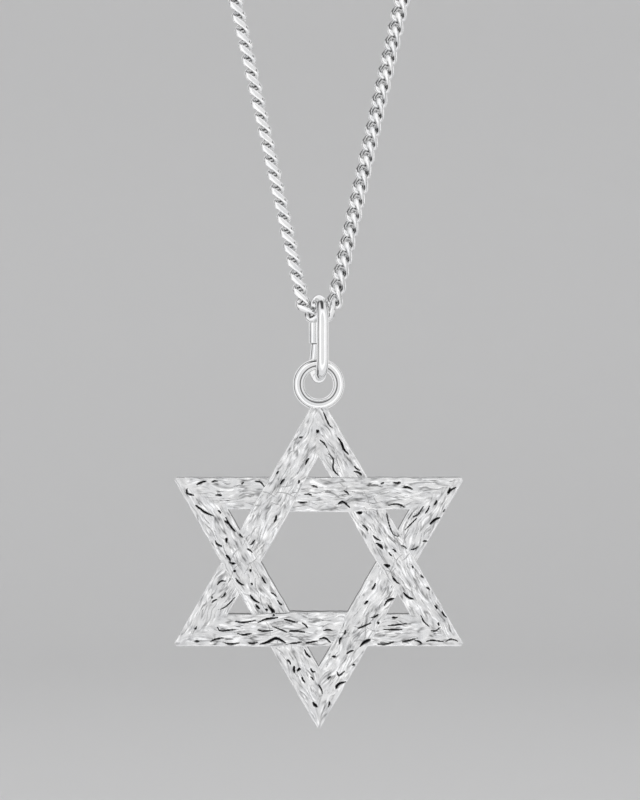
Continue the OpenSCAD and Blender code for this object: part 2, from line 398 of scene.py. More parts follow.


# The boldest cuts of the bark, read off the photo and listed here. Each has its width, then the x
# and z of each of its points, in mm from the star's centre.
BOLD_CUTS = [
    # Upper right
    (0.12, 0.4, 12.4, 0.6, 11.9, 0.9, 11.3, 1.2, 11.1), (0.2, 1.6, 10.3, 1.9, 9.8, 2.1, 9.3, 2.5, 8.9),
    (0.12, 0.7, 9.1, 1.2, 8.5, 1.2, 7.7, 1.7, 7.1), (0.12, 0.1, 10.1, 0.7, 9.4),
    (0.12, 2.9, 8.0, 3.4, 7.6), (0.15, 2.9, 7.5, 3.6, 7.2), (0.17, 1.6, 4.8, 2.0, 5.0, 2.6, 4.5),
    (0.13, 2.1, 5.9, 2.5, 5.6), (0.18, 6.2, 6.6, 6.8, 6.6), (0.18, 7.0, 6.2, 7.8, 6.0),
    (0.12, 5.1, 6.5, 5.4, 6.6), (0.14, 5.7, 4.7, 6.5, 4.8, 7.2, 4.5), (0.16, 10.7, 5.7, 10.9, 6.2),
    (0.14, 10.7, 5.6, 11.4, 6.2), (0.16, 9.5, 4.7, 9.8, 5.1), (0.2, 9.2, 3.1, 10.1, 3.7),
    (0.11, 7.8, 3.7, 8.3, 4.0, 8.7, 4.7), (0.11, 7.1, 2.6, 7.6, 3.1, 8.2, 3.7),
    (0.11, 8.8, 4.0, 9.2, 4.7), (0.12, 10.3, 4.1, 10.6, 4.4), (0.25, 3.1, 4.1, 3.6, 4.1),
    (0.12, 3.6, 3.1, 4.1, 2.5), (0.14, 4.5, 2.2, 5.1, 1.8), (0.28, 4.7, 1.6, 5.3, 1.1),
    (0.1, 5.6, 4.3, 5.8, 3.2, 6.2, 2.3, 6.9, 2.1), (0.12, 6.1, 1.1, 6.4, 0.8),
    (0.14, 5.8, 0.8, 6.1, 0.5), (0.1, 6.8, 1.4, 7.3, 1.1), (0.1, 7.6, 1.0, 8.3, 1.3),
    (0.15, 8.6, 1.7, 9.0, 1.7),
    # Upper left
    (0.16, -10.1, 6.4, -9.7, 6.6, -9.3, 6.7), (0.12, -8.9, 6.6, -8.4, 6.7),
    (0.13, -6.5, 6.5, -6.2, 6.6), (0.13, -5.3, 6.7, -4.8, 6.6, -4.5, 6.2),
    (0.14, -10.9, 6.1, -10.9, 5.7, -10.3, 5.5), (0.15, -8.6, 5.5, -8.0, 5.5),
    (0.18, -10.2, 4.7, -9.8, 4.4, -9.4, 4.1, -8.7, 3.8), (0.13, -8.4, 4.3, -8.1, 4.0),
    (0.17, -7.7, 3.7, -7.4, 3.1, -6.9, 2.5), (0.13, -7.8, 3.4, -7.5, 3.1), (0.12, -6.6, 2.4, -6.1, 2.0),
    (0.16, -8.6, 1.9, -8.4, 1.5, -8.0, 1.3), (0.22, -7.6, 2.0, -7.6, 1.6), (0.2, -7.7, 0.6, -7.3, 0.1),
    (0.14, -5.7, 1.4, -5.3, 1.8), (0.13, -5.9, 1.1, -5.5, 0.8), (0.18, -3.7, 3.3, -3.5, 3.9),
    (0.16, -1.1, 8.0, -0.8, 8.6), (0.14, -1.6, 10.3, -1.3, 10.4), (0.14, -3.2, 6.4, -2.8, 6.9),
    (0.16, -1.7, 6.5, -1.6, 6.8), (0.13, -3.5, 7.3, -3.3, 7.5), (0.12, -1.8, 5.0, -0.9, 5.0),
    (0.12, -1.2, 5.6, -0.5, 5.5), (0.3, -0.2, 10.8, 0.0, 10.9), (0.12, -0.7, 6.3, -0.1, 6.2),
    # Lower right
    (0.3, 5.4, -0.2, 5.9, -0.3), (0.15, 6.1, -1.2, 6.4, -1.6, 6.7, -1.8),
    (0.18, 7.0, -2.5, 7.4, -2.9, 7.9, -3.1), (0.2, 5.4, -3.6, 5.7, -3.2, 6.3, -3.0),
    (0.15, 4.4, -2.3, 4.7, -1.7), (0.18, 3.8, -3.5, 4.1, -3.2), (0.15, 4.2, -4.6, 5.0, -4.3),
    (0.13, 3.2, -5.5, 3.7, -5.3, 4.4, -5.0), (0.28, 3.4, -7.0, 3.8, -6.6, 4.4, -6.4),
    (0.2, 4.8, -5.0, 5.0, -5.1), (0.17, 6.1, -4.6, 6.5, -4.6), (0.12, 5.6, -5.3, 6.5, -5.2, 7.3, -5.1),
    (0.13, 5.2, -5.6, 5.8, -5.6, 6.9, -5.6), (0.14, 4.9, -6.8, 5.6, -6.8, 6.3, -6.6),
    (0.12, 6.9, -6.6, 7.5, -6.5, 8.2, -6.3), (0.15, 7.9, -6.5, 8.6, -6.8),
    (0.1, 8.9, -6.6, 9.4, -6.5, 10.4, -6.6), (0.1, 10.5, -6.6, 11.0, -6.4, 11.6, -6.6),
    (0.1, 8.4, -4.3, 9.2, -5.4), (0.1, 9.3, -5.7, 9.7, -5.7, 10.1, -5.4), (0.14, 9.9, -5.0, 10.0, -5.3),
    (0.15, 9.6, -3.6, 9.8, -3.9), (0.13, 10.2, -4.1, 10.6, -4.6), (0.12, 8.9, -2.1, 9.2, -2.3),
    (0.13, 8.4, -1.0, 8.7, -1.3), (0.14, 7.7, -0.3, 7.8, -0.5), (0.14, 0.0, -6.4, 0.5, -6.3, 1.0, -6.7),
    (0.16, 1.7, -6.8, 1.9, -6.2), (0.14, 2.1, -6.0, 2.2, -5.6), (0.14, 2.3, -7.6, 2.9, -7.3),
    (0.2, 1.1, -7.8, 1.4, -7.8), (0.18, 2.8, -8.5, 3.0, -8.5), (0.13, 1.5, -9.1, 1.7, -9.4, 2.2, -9.0),
    (0.12, 0.7, -9.8, 1.0, -9.5), (0.22, 1.4, -10.5, 1.7, -10.1, 2.3, -9.9),
    (0.11, 0.3, -5.7, 1.2, -5.7), (0.14, 0.8, -12.0, 0.9, -11.6), (0.13, 0.0, -10.2, 0.3, -10.9),
    # Lower left
    (0.13, -9.0, -6.6, -8.5, -6.4, -7.9, -6.3), (0.12, -8.0, -6.6, -7.4, -6.8, -6.5, -6.7),
    (0.12, -5.8, -6.7, -5.0, -6.6), (0.25, -4.9, -6.8, -4.2, -6.6, -3.5, -6.3, -2.7, -6.7),
    (0.12, -2.6, -6.7, -2.0, -6.7, -1.4, -6.6), (0.14, -1.1, -6.7, -0.5, -6.6, 0.0, -6.5),
    (0.12, -7.0, -4.9, -6.2, -5.0, -5.2, -4.8), (0.16, -5.1, -5.0, -4.3, -4.7, -3.4, -4.6),
    (0.14, -2.9, -4.7, -2.2, -4.9, -1.6, -5.0), (0.12, -1.4, -5.0, -0.9, -5.5),
    (0.12, -3.8, -5.3, -3.1, -5.6, -2.6, -5.8), (0.13, -2.5, -5.7, -1.8, -5.7, -1.1, -5.8),
    (0.12, -8.4, -5.4, -8.1, -5.7, -6.9, -5.6), (0.13, -6.8, -5.9, -6.2, -6.0, -5.5, -5.9),
    (0.12, -5.1, -5.6, -4.5, -5.7, -3.6, -5.6), (0.16, -6.9, -1.3, -6.6, -1.7, -6.2, -1.9),
    (0.2, -7.4, 0.0, -6.9, -0.1), (0.25, -7.0, -0.8, -6.9, -0.7), (0.2, -5.6, -0.8, -5.7, -0.6),
    (0.17, -5.6, -1.7, -5.5, -1.9), (0.13, -4.7, -1.2, -4.3, -1.8), (0.1, -4.0, -2.5, -3.5, -2.9),
    (0.14, -3.4, -3.2, -3.0, -3.6), (0.18, -5.7, -2.7, -5.4, -3.1, -4.9, -3.4),
    (0.18, -5.2, -3.5, -4.9, -3.9), (0.25, -4.2, -3.6, -3.8, -4.1, -3.7, -4.5),
    (0.2, -4.4, -3.9, -4.2, -4.0), (0.13, -8.4, -1.9, -8.1, -1.6, -7.7, -1.6),
    (0.12, -8.1, -3.0, -7.7, -2.5), (0.12, -8.9, -3.4, -8.4, -3.1), (0.17, -8.9, -3.0, -8.8, -2.9),
    (0.1, -8.4, -4.0, -7.7, -3.7, -6.9, -2.9), (0.13, -10.3, -5.6, -10.1, -5.3),
    (0.15, -10.3, -6.6, -9.9, -6.6), (0.17, -1.2, -7.2, -0.7, -7.9), (0.15, -2.6, -8.1, -2.3, -8.5),
    (0.2, -2.0, -8.6, -2.0, -9.2), (0.24, -1.8, -9.1, -1.5, -8.8), (0.14, -1.4, -9.5, -1.1, -10.0),
    (0.13, -0.7, -8.8, -0.5, -9.1, -0.2, -9.1), (0.28, -0.5, -11.6, -0.1, -12.0),
    (0.1, -0.7, -9.5, -0.4, -9.9),
]


# Spread of the fainter cuts, in mm, and of their tilt from the bar, in radians
FAINT_STRAY, FAINT_EDGE = 0.5, 0.3
FAINT_LENGTHS, FAINT_WIDTHS = (0.5, 1.7), (0.07, 0.11)
FAINT_TILT = 0.2
# Bend of a cut that has only two points, as a share of its length
CUT_BEND = 0.09
# A cut's half width at its ends and the half width from which it has its full depth, in mm
CUT_END_WIDTH, FULL_DEPTH_HALF = 0.012, 0.1
# Room searched round a cut in mm, the power of its taper and the strength of the painted shade in it
CUT_MARGIN, CUT_TAPER, CUT_PAINTED_SHADE = 0.1, 0.75, 1.9
# Place and spread of the lips in half widths of the cut, and the least half width that has them, in mm
LIP_AT, LIP_SPREAD, LIP_LEAST_WIDTH = 1.7, 0.55, 0.03
# Powers that move the widest place of a cut along it, taken in turn
CUT_HEADS = (0.7, 1.0, 1.45)
# Sizes of the bark's waves in mm, along the bar and across it
SLOW_WAVES, RIPPLES = (2.3, 1.4), (0.75, 0.5)
FIBRES, BREAKS, SWELLS = (2.1, 0.26), (1.1, 0.45), (1.3, 0.38)
HAIRS, HAIR_BREAKS, HAZE = (1.4, 0.17), (0.9, 0.4), (0.9, 0.5)
# How far the two longest waves push the fibres sideways, in mm
SLOW_REACH, RIPPLE_REACH = 0.30, 0.07
# Half widths of the fibres' creases, dark lines and hairs, in the noise's own measure
CREASE_HALF, LINE_HALF, HAIR_HALF = 0.42, 0.24, 0.2
SWELL_SHARE, CREASE_SHARE = 1.3, 0.5
# Painted shade along the fibres' dark lines and the hairs, a darker haze at random, and the most darkening
# of all
LINE_PAINTED_SHADE, HAIR_PAINTED_SHADE, HAZE_TONE, MOST_DARKENING = 0.6, 0.4, 0.16, 0.8
# Step that gives each bar its own stretch of the noise, in mm
BAR_SHIFT = 57.0


class Bark:
    """The carved bark finish: wavy fibres along each bar and cuts over them, with painted shade in the cuts
    and creases.
    """

    def __init__(self, plan):
        self.plan = plan
        self.sway, self.ripple, self.fibre = Grain(11), Grain(12), Grain(13)
        self.broken, self.swell = Grain(14), Grain(15)
        self.cuts = [(self.curve(cut, k), cut[0] / 2, 1.0) for k, cut in enumerate(BOLD_CUTS)]
        faint = self.faint_cuts()
        self.cuts += [(self.curve(cut, k), cut[0] / 2, plan.faint) for k, cut in enumerate(faint)]

    def faint_cuts(self):
        """Fainter cuts strewn along every bar, in the form of the bold ones."""
        chance = np.random.default_rng(self.plan.faint_seed)
        cuts = []
        for bar in range(6):
            for x in np.linspace(-self.plan.bar_end_x, self.plan.bar_end_x, self.plan.faint_count):
                x += chance.uniform(-FAINT_STRAY, FAINT_STRAY)
                z = chance.uniform(self.plan.point_inner + FAINT_EDGE, self.plan.edge - FAINT_EDGE)
                long, tilt = chance.uniform(*FAINT_LENGTHS), chance.normal(0, FAINT_TILT)
                out_x, out_z = long / 2 * math.cos(tilt), long / 2 * math.sin(tilt)
                width = chance.uniform(*FAINT_WIDTHS)
                ends = [turned_plan(x + way * out_x, z + way * out_z, bar) for way in (-1, 1)]
                cuts.append((width, *ends[0], *ends[1]))
        return cuts

    def curve(self, cut, number):
        """Points of a smooth line through a cut's points; a cut with two points gets a slight bend."""
        knots = np.array(cut[1:]).reshape(-1, 2)
        if len(knots) == 2:
            ahead = knots[1] - knots[0]
            bend = CUT_BEND if number % 2 else -CUT_BEND
            middle = (knots[0] + knots[1]) / 2 + bend * np.array([-ahead[1], ahead[0]])
            knots = np.array([knots[0], middle, knots[1]])
        p = np.vstack([2 * knots[0] - knots[1], knots, 2 * knots[-1] - knots[-2]])
        t = np.arange(6)[:, None] / 6
        spans = [
            0.5
            * (2 * b + (c - a) * t + (2 * a - 5 * b + 4 * c - d) * t**2 + (3 * b - a - 3 * c + d) * t**3)
            for a, b, c, d in zip(p, p[1:], p[2:], p[3:])
        ]
        return np.vstack(spans + [knots[-1:]])

    def carve(self, x, z):
        """Depth of the cuts, the raised lips beside them and the painted shade in the cuts, in the star's
        plan.
        """
        depth, lips, black = np.zeros(len(x)), np.zeros(len(x)), np.zeros(len(x))
        for number, (line, half, tone) in enumerate(self.cuts):
            reach = 3 * half + CUT_MARGIN
            (low_x, low_z), (high_x, high_z) = line.min(0) - reach, line.max(0) + reach
            near = np.nonzero((x > low_x) & (x < high_x) & (z > low_z) & (z < high_z))[0]
            if not len(near):
                continue
            place = np.column_stack([x[near], z[near]])[:, None, :]
            start, step = line[:-1], np.diff(line, axis=0)
            lengths = np.hypot(step[:, 0], step[:, 1]) + 1e-9
            share = np.clip(((place - start) * step).sum(2) / lengths**2, 0, 1)
            away = np.hypot(*np.moveaxis(place - start - share[:, :, None] * step, 2, 0))
            best = away.argmin(1)
            rows = np.arange(len(near))
            behind = np.concatenate([[0], np.cumsum(lengths)])
            along = (behind[best] + share[rows, best] * lengths[best]) / behind[-1]
            head = CUT_HEADS[number % len(CUT_HEADS)]
            wide = 0.95 * half * np.maximum(np.sin(math.pi * along**head), 0) ** CUT_TAPER + CUT_END_WIDTH
            ratio = away[rows, best] / wide
            cut = np.clip(1 - ratio * ratio, 0, 1)
            lip = np.exp(-((ratio - LIP_AT) / LIP_SPREAD) ** 2) * (wide > LIP_LEAST_WIDTH)
            depth[near] = np.maximum(depth[near], tone * min(1.0, half / FULL_DEPTH_HALF) * cut**0.8)
            lips[near] = np.maximum(lips[near], tone * lip)
            # Painted shade in the cut, darkest along its middle
            black[near] = np.maximum(black[near], tone * np.clip(cut * CUT_PAINTED_SHADE, 0, 1))
        return depth, lips * (1 - black), black

    def relief(self, bar, x, z):
        """Height of the fibres over the flat front, and their darkening in a bar's own coordinates: painted
        shade in creases and hairs, random haze.
        """
        shift = BAR_SHIFT * bar
        slow = self.sway((x + shift) / SLOW_WAVES[0], z / SLOW_WAVES[1])
        quick = self.ripple((x + shift) / RIPPLES[0], z / RIPPLES[1])
        across = z + SLOW_REACH * slow + RIPPLE_REACH * quick
        fibres = self.fibre((x + shift) / FIBRES[0], across / FIBRES[1])
        crease = np.clip(1 - np.abs(fibres) / CREASE_HALF, 0, 1)
        line = np.clip(1 - np.abs(fibres) / LINE_HALF, 0, 1)
        strength = ease(self.broken((x - shift) / BREAKS[0], z / BREAKS[1]), -0.35, 0.3)
        swell = self.swell((x + shift) / SWELLS[0], across / SWELLS[1])
        height = self.plan.fibre_depth * (SWELL_SHARE * swell - CREASE_SHARE * crease * strength)
        hairs = self.fibre((x - shift) / HAIRS[0], across / HAIRS[1])
        hair = np.clip(1 - np.abs(hairs) / HAIR_HALF, 0, 1)
        hair *= ease(self.broken((x + shift) / HAIR_BREAKS[0], z / HAIR_BREAKS[1] + 7), -0.1, 0.4)
        haze = ease(self.sway((x - shift) / HAZE[0], across / HAZE[1] + 3), 0.0, 0.6)
        # Painted shade in the creases and along the hairs, plus a darker random haze
        black = LINE_PAINTED_SHADE * line * strength + HAIR_PAINTED_SHADE * hair + HAZE_TONE * haze
        return height, np.clip(black, 0, MOST_DARKENING)


# Lengths in mm: where the waves of a bar's edges start at its ends, their size and reach into the bar,
# the blend of two bars at their mitre, the rim without relief, and the dip of the front beside the ring
CALM_ENDS = (0.05, 0.6)
EDGE_WAVE, EDGE_REACH = 0.8, 0.4
MITRE_BLEND, PLAIN_RIM = 0.3, 0.14
RING_SINK, RING_SINK_REACH = 0.2, 1.3


def stitch(upper, lower, x, faces):
    """Triangles between two rows of points of a bar, both sorted along it."""
    i = j = 0
    while i < len(upper) - 1 or j < len(lower) - 1:
        step_up = j == len(lower) - 1 or (
            i < len(upper) - 1 and abs(x[upper[i + 1]] - x[lower[j]]) <= abs(x[lower[j + 1]] - x[upper[i]])
        )
        if step_up:
            faces.append((upper[i], lower[j], upper[i + 1]))
            i += 1
        else:
            faces.append((upper[i], lower[j], lower[j + 1]))
            j += 1


def bar_front(plan, bark, bar):
    """Points of one bar's carved front in the star's plan, their black marks and the triangles."""
    width = plan.edge - plan.point_inner
    round_rows = [0, 0.16 * plan.edge_round, 0.5 * plan.edge_round, plan.edge_round]
    rows = list(np.linspace(plan.edge_round, width - plan.edge_round, round(width / (plan.grid * COS30))))
    corners = [plan.edge - plan.trimmed / 2, plan.edge - (plan.ring_above - plan.ring_cut) / 2]
    rows = [r for r in rows if all(abs(r - c) > 0.4 * plan.grid for c in corners)] + corners
    rows += round_rows[:3] + [width - r for r in round_rows[:3]]
    cover = 0.25
    xs, zs, starts = [], [], [0]
    for number, down in enumerate(sorted(rows)):
        z_end = plan.edge - down
        left = -plan.end_x(z_end, bar == 1)
        right = plan.end_x(z_end, bar == 5)
        shift = (number % 2) * plan.grid / 2
        count = int(13 / plan.grid)
        x = np.arange(-count, count + 1) * plan.grid + shift
        x = x[(x > left + 0.45 * plan.grid) & (x < right - 0.45 * plan.grid)]
        start, end = plan.covered(z_end)
        hidden = (x > start + cover) & (x < end - cover)
        middle = [start + cover, (start + end) / 2, end - cover] if end - start > 2.5 * cover else []
        x = np.sort(np.concatenate([x[~hidden], middle, [left, right]]))
        xs.append(x)
        zs.append(plan.edge - down / width * (plan.edge - plan.inner_edge(x)))
        starts.append(starts[-1] + len(x))
    faces = []
    x, z = np.concatenate(xs), np.concatenate(zs)
    for i in range(len(xs) - 1):
        stitch(range(starts[i], starts[i + 1]), range(starts[i + 1], starts[i + 2]), x, faces)
    from_outer, from_inner = plan.edge - z, z - plan.inner_edge(x)
    from_left, from_right = z * COS30 + x / 2, z * COS30 - x / 2
    calm_ends = ease(np.minimum(from_left, from_right), *CALM_ENDS)
    edge_wave = Grain(31 + bar)
    z = z + plan.edge_sway * calm_ends * (
        edge_wave(x / EDGE_WAVE, 0 * x + 0.4) * (1 - ease(from_outer, 0, EDGE_REACH))
        + edge_wave(x / EDGE_WAVE, 0 * x + 5.4) * (1 - ease(from_inner, 0, EDGE_REACH))
    )
    height, black = bark.relief(bar, x, z)
    for side, away in ((1, from_right), (-1, from_left)):
        beside = np.nonzero(away < MITRE_BLEND)[0]
        other_x, other_z = turned_plan(x[beside], z[beside], -2 * side)
        other_height, other_black = bark.relief((bar + 2 * side) % 6, other_x, other_z)
        blend = 0.5 * (1 - ease(away[beside], 0, MITRE_BLEND))
        height[beside] = height[beside] * (1 - blend) + other_height * blend
        black[beside] = black[beside] * (1 - blend) + other_black * blend
    plan_x, plan_z = turned_plan(x, z, bar)
    depth, lips, cut_black = bark.carve(plan_x, plan_z)
    # Painted shade of the cuts joins that of the fibres
    black = np.maximum(black, cut_black)
    height += plan.lip_height * lips - plan.cut_depth * depth
    rim = np.minimum(from_outer, from_inner)
    inside = ease(rim, 0.0, PLAIN_RIM)
    turn_down = np.clip(1 - rim / plan.edge_round, 0, 1)
    y = -plan.front - plan.lift(x) - height * inside
    y += plan.edge_round * (1 - np.sqrt(1 - turn_down**2))
    to_ring = np.hypot(plan_x, plan_z - plan.ring_above) - plan.ring_cut
    y += RING_SINK * (1 - ease(to_ring, 0, RING_SINK_REACH))
    return np.column_stack([plan_x, y, plan_z]), black * inside, faces


def woven_triangle(plan, bark, bars, name, materials):
    """Three bars welded at their mitres into one closed triangle with walls and a flat back."""
    points, black, faces, base = [], [], [], 0
    for bar in bars:
        p, b, f = bar_front(plan, bark, bar)
        points.append(p)
        black.append(b)
        faces += [(i + base, j + base, k + base) for i, j, k in f]
        base += len(p)
    points, black, faces = np.concatenate(points), np.concatenate(black), np.array(faces)
    places = np.round(points[:, [0, 2]], 4)
    _, first, same = np.unique(places, axis=0, return_index=True, return_inverse=True)
    points, black, faces = points[first], black[first], same.ravel()[faces]
    i, j, k = faces.T
    faces = faces[(i != j) & (j != k) & (i != k)]
    sides = np.concatenate([faces[:, [0, 1]], faces[:, [1, 2]], faces[:, [2, 0]]])
    known = set(map(tuple, sides))
    rims = [(a, b) for a, b in known if (b, a) not in known]
    after = dict(rims)
    if len(after) != len(rims):
        raise RuntimeError(f"{name}: the rim of the front isn't a simple loop")
    loops = []
    while after:
        loop = [next(iter(sorted(after)))]
        while loop[-1] in after:
            loop.append(after.pop(loop[-1]))
        loops.append(loop[:-1])
    count = len(points)
    wall_points, walls, back_loops = [], [], []
    bevel = 0.08
    for loop in loops:
        p = points[loop]
        ahead = np.roll(p, -1, 0) - np.roll(p, 1, 0)
        out = np.column_stack([ahead[:, 2], -ahead[:, 0]])
        out /= np.linalg.norm(out, axis=1)[:, None]
        start = count + len(wall_points)
        n = len(loop)
        wall_points += [(q[0], plan.back - bevel, q[2]) for q in p]
        wall_points += [(q[0] - bevel * o[0], plan.back, q[2] - bevel * o[1]) for q, o in zip(p, out)]
        for i in range(n):
            j = (i + 1) % n
            walls.append((loop[j], loop[i], start + i, start + j))
            walls.append((start + j, start + i, start + n + i, start + n + j))
        back_loops.append(list(range(start + n, start + 2 * n)))
    points = np.concatenate([points, np.array(wall_points)])
    flat = [i for loop in back_loops for i in loop]
    outlines = [[Vector((points[i][0], points[i][2], 0)) for i in loop] for loop in back_loops]
    cap = []
    for a, b, c in tessellate_polygon(outlines):
        a, b, c = flat[a], flat[b], flat[c]
        u, v = points[b] - points[a], points[c] - points[a]
        cap.append((a, b, c) if u[2] * v[0] - u[0] * v[2] > 0 else (a, c, b))
    points[:, 2] += plan.centre_z
    black = np.concatenate([black, np.zeros(len(points) - len(black))])
    faces = [tuple(int(i) for i in f) for f in faces]
    walls = [tuple(int(i) for i in f) for f in walls]
    cap = [tuple(int(i) for i in f) for f in cap]
    finish = [0] * len(faces) + [1] * len(walls) + [2] * len(cap)
    # The mark holds the painted shade of the front; walls and back have none
    return new_object(name, points, faces + walls + cap, materials, 50, finish, {"soot": black})


def swept(profile_steps, path_steps, place, closed_path):
    """Points and faces of a tube: place(i, j) gives the point at path step i and profile step j."""
    points = [place(i, j) for i in range(path_steps) for j in range(profile_steps)]
    faces = []
    for i in range(path_steps if closed_path else path_steps - 1):
        for j in range(profile_steps):
            a, b = i * profile_steps, (i + 1) % path_steps * profile_steps
            k = (j + 1) % profile_steps
            faces.append((a + j, b + j, b + k, a + k))
    return points, faces


def torus(centre, mid, wire, around, across):
    """A wire ring standing in the XZ plane."""

    def place(i, j):
        a, b = 2 * math.pi * i / around, 2 * math.pi * j / across
        r = mid + wire / 2 * math.cos(b)
        depth = centre[1] + wire / 2 * math.sin(b)
        return (centre[0] + r * math.cos(a), depth, centre[2] + r * math.sin(a))

    return swept(across, around, place, True)


def hanging_ring(plan, finishes):
    """The soldered ring, with the fine groove that runs round its front inside the wire's middle, painted
    dark as shade.
    """
    groove, clear = math.asin(0.31), 0.25
    whole_turn = 2 * math.pi
    plain = list(np.linspace(groove + clear, groove - clear + whole_turn, 36))
    turns = plain + [groove + offset + whole_turn for offset in (-0.18, -0.09, 0.0, 0.09, 0.18)]
    centre, mid, half = plan.ring_z, plan.ring_mid, plan.ring_wire / 2
    around, across = 128, len(turns)

    def place(i, j):
        a, b = 2 * math.pi * i / around, turns[j]
        r = half - (0.018 if j == across - 3 else 0.0)
        out = mid - r * math.sin(b)
        return (out * math.cos(a), -r * math.cos(b), centre + out * math.sin(a))

    points, faces = swept(across, around, place, True)
    # Painted shade along the groove, darkest on its middle row
    marks = [0.0] * across
    marks[-4:-1] = [0.7, 0.9, 0.7]
    return new_object("ring", points, faces, finishes, 60, [1] * len(faces), {"soot": marks * around})


def united(first, others):
    """The first object joined with the others into one closed skin."""
    for other in others:
        step = first.modifiers.new("join", "BOOLEAN")
        step.operation, step.solver, step.material_mode = "UNION", "MANIFOLD", "TRANSFER"
        step.object = other
    view = bpy.context.evaluated_depsgraph_get()
    mesh = bpy.data.meshes.new_from_object(first.evaluated_get(view), depsgraph=view)
    if not mesh.polygons:
        raise RuntimeError(f"{first.name}: the pieces didn't join")
    first.modifiers.clear()
    old = first.data
    first.data = mesh
    bpy.data.meshes.remove(old)
    for other in others:
        mesh = other.data
        bpy.data.objects.remove(other)
        bpy.data.meshes.remove(mesh)
    first.data.name = first.name
    return first


class NECKLACE_OT_star(bpy.types.Operator):
    """Builds the woven star with its bark finish and hanging ring"""

    bl_idname = "necklace.make_star"
    bl_label = "Make star and ring"

    def execute(self, context):
        plan = StarPlan()
        bark = Bark(plan)
        finishes = [silver("cast_bark"), silver("bright_wire"), silver("brushed_back")]
        star = woven_triangle(plan, bark, (0, 2, 4), "star_pendant", finishes)
        other = woven_triangle(plan, bark, (1, 3, 5), "second_triangle", finishes)
        ring = hanging_ring(plan, finishes)
        united(star, [other, ring])
        star.data.shade_smooth()
        star.data.set_sharp_from_angle(angle=math.radians(50))
        finish = np.empty(len(star.data.polygons), int)
        star.data.polygons.foreach_get("material_index", finish)
        star.data.polygons.foreach_set("use_smooth", finish != finishes.index(silver("brushed_back")))
        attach(star, "pendant")
        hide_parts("star")
        return {"FINISHED"}


# Bail


class NECKLACE_OT_bail(bpy.types.Operator):
    """Builds the oval bail with the seam where its wire's ends meet"""

    bl_idname = "necklace.make_bail"
    bl_label = "Make bail"

    def execute(self, context):
        s = context.scene.necklace_ring
        wire, turn = s.bail_wire / MM, s.bail_turn
        top, bottom = BAIL_HIGH.z / MM, BAIL_LOW.z / MM
        mid = (s.bail_width / MM - wire) / 2
        arch_high, arch_low = top - wire / 2 - mid, bottom + wire / 2 + mid
        leg = arch_high - arch_low
        seam = top - s.seam_drop / MM
        total = 2 * leg + 2 * math.pi * mid
        gap, step = s.seam_gap / MM, s.seam_step / MM

        def route(d):
            """Place and outward direction at distance d along the wire from the seam, up that leg first."""
            d = d % total
            up = arch_high - seam
            if d < up:
                return mid, seam + d, 0.0
            d -= up
            if d < math.pi * mid:
                a = d / mid
                return mid * math.cos(a), arch_high + mid * math.sin(a), a
            d -= math.pi * mid
            if d < leg:
                return -mid, arch_high - d, math.pi
            d -= leg
            if d < math.pi * mid:
                a = math.pi + d / mid
                return mid * math.cos(a), arch_low + mid * math.sin(a), a
            return mid, arch_low + d - math.pi * mid, 2 * math.pi

        across = 40
        ends = [0.0, 0.012, 0.04, 0.09]
        shrink = [0.80, 0.92, 0.985, 1.0]
        body = list(np.linspace(0.2, total - gap - 0.2, 150))
        places = ends + body + [total - gap - e for e in reversed(ends)]
        sizes = shrink + [1.0] * len(body) + list(reversed(shrink))
        uneven = Grain(77)
        wobble_height, wobble_room, step_length = 0.006, 0.004, 2.2

        def place(i, j):
            d, size = places[i] + gap / 2, sizes[i]
            depth, z, out = route(d)
            b = 2 * math.pi * j / across
            wobble = wobble_height * float(uneven(np.array([d / 0.9]), np.array([b * 0.7]))[0])
            r = (wire / 2 - wobble_room) * size + min(wobble, wobble_room)
            from_lower_end = total - d
            side = step * (1 - float(ease(np.array([from_lower_end]), 0.0, step_length)[0]))
            depth += r * math.cos(b) * math.cos(out) - side * math.tan(turn)
            z += r * math.cos(b) * math.sin(out)
            x = r * math.sin(b) + side
            across_x, across_y = x * math.cos(turn), x * math.sin(turn)
            return (across_x - depth * math.sin(turn), across_y + depth * math.cos(turn), z)

        points, faces = swept(across, len(places), place, False)
        faces = [f[::-1] for f in faces]
        last = (len(places) - 1) * across
        faces.append(tuple(range(across)))
        faces.append(tuple(last + j for j in reversed(range(across))))
        near_seam = [0.75 if k < across or k >= last else 0.0 for k in range(len(points))]
        finish = [silver("bright_wire")]
        bail = new_object("oval_bail", points, faces, finish, 60, None, {"soot": near_seam})
        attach(bail, "bail_link")
        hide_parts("bail")
        return {"FINISHED"}


# Chain


# How far the bend's middle is pulled up from a round arc, and the extra half width of the end links, in mm
BEND_LIFT = 0.04
END_SLACK = 0.04
# Extra half length that lets the links interlock, in mm, and the power that squares their ovals
LINK_EXTRA = 0.08
LINK_SQUARE = 0.65
# Painted shade in each link's core, where the interlocked wires shade each other: a link's point is black
# up to the first distance from the chain's middle and bright from the second, in mm
DARK_CORE = (0.12, 0.32)
CORE_PAINTED_SHADE = 0.9
# Roll of the links about the route: distance from the bend's middle in mm, and degrees
ROLLS = [(-90, -84), (-60, -38), (-5, -38), (-1, -58), (1, -78), (5, -90)]
ROLL_STRAY = 0.03


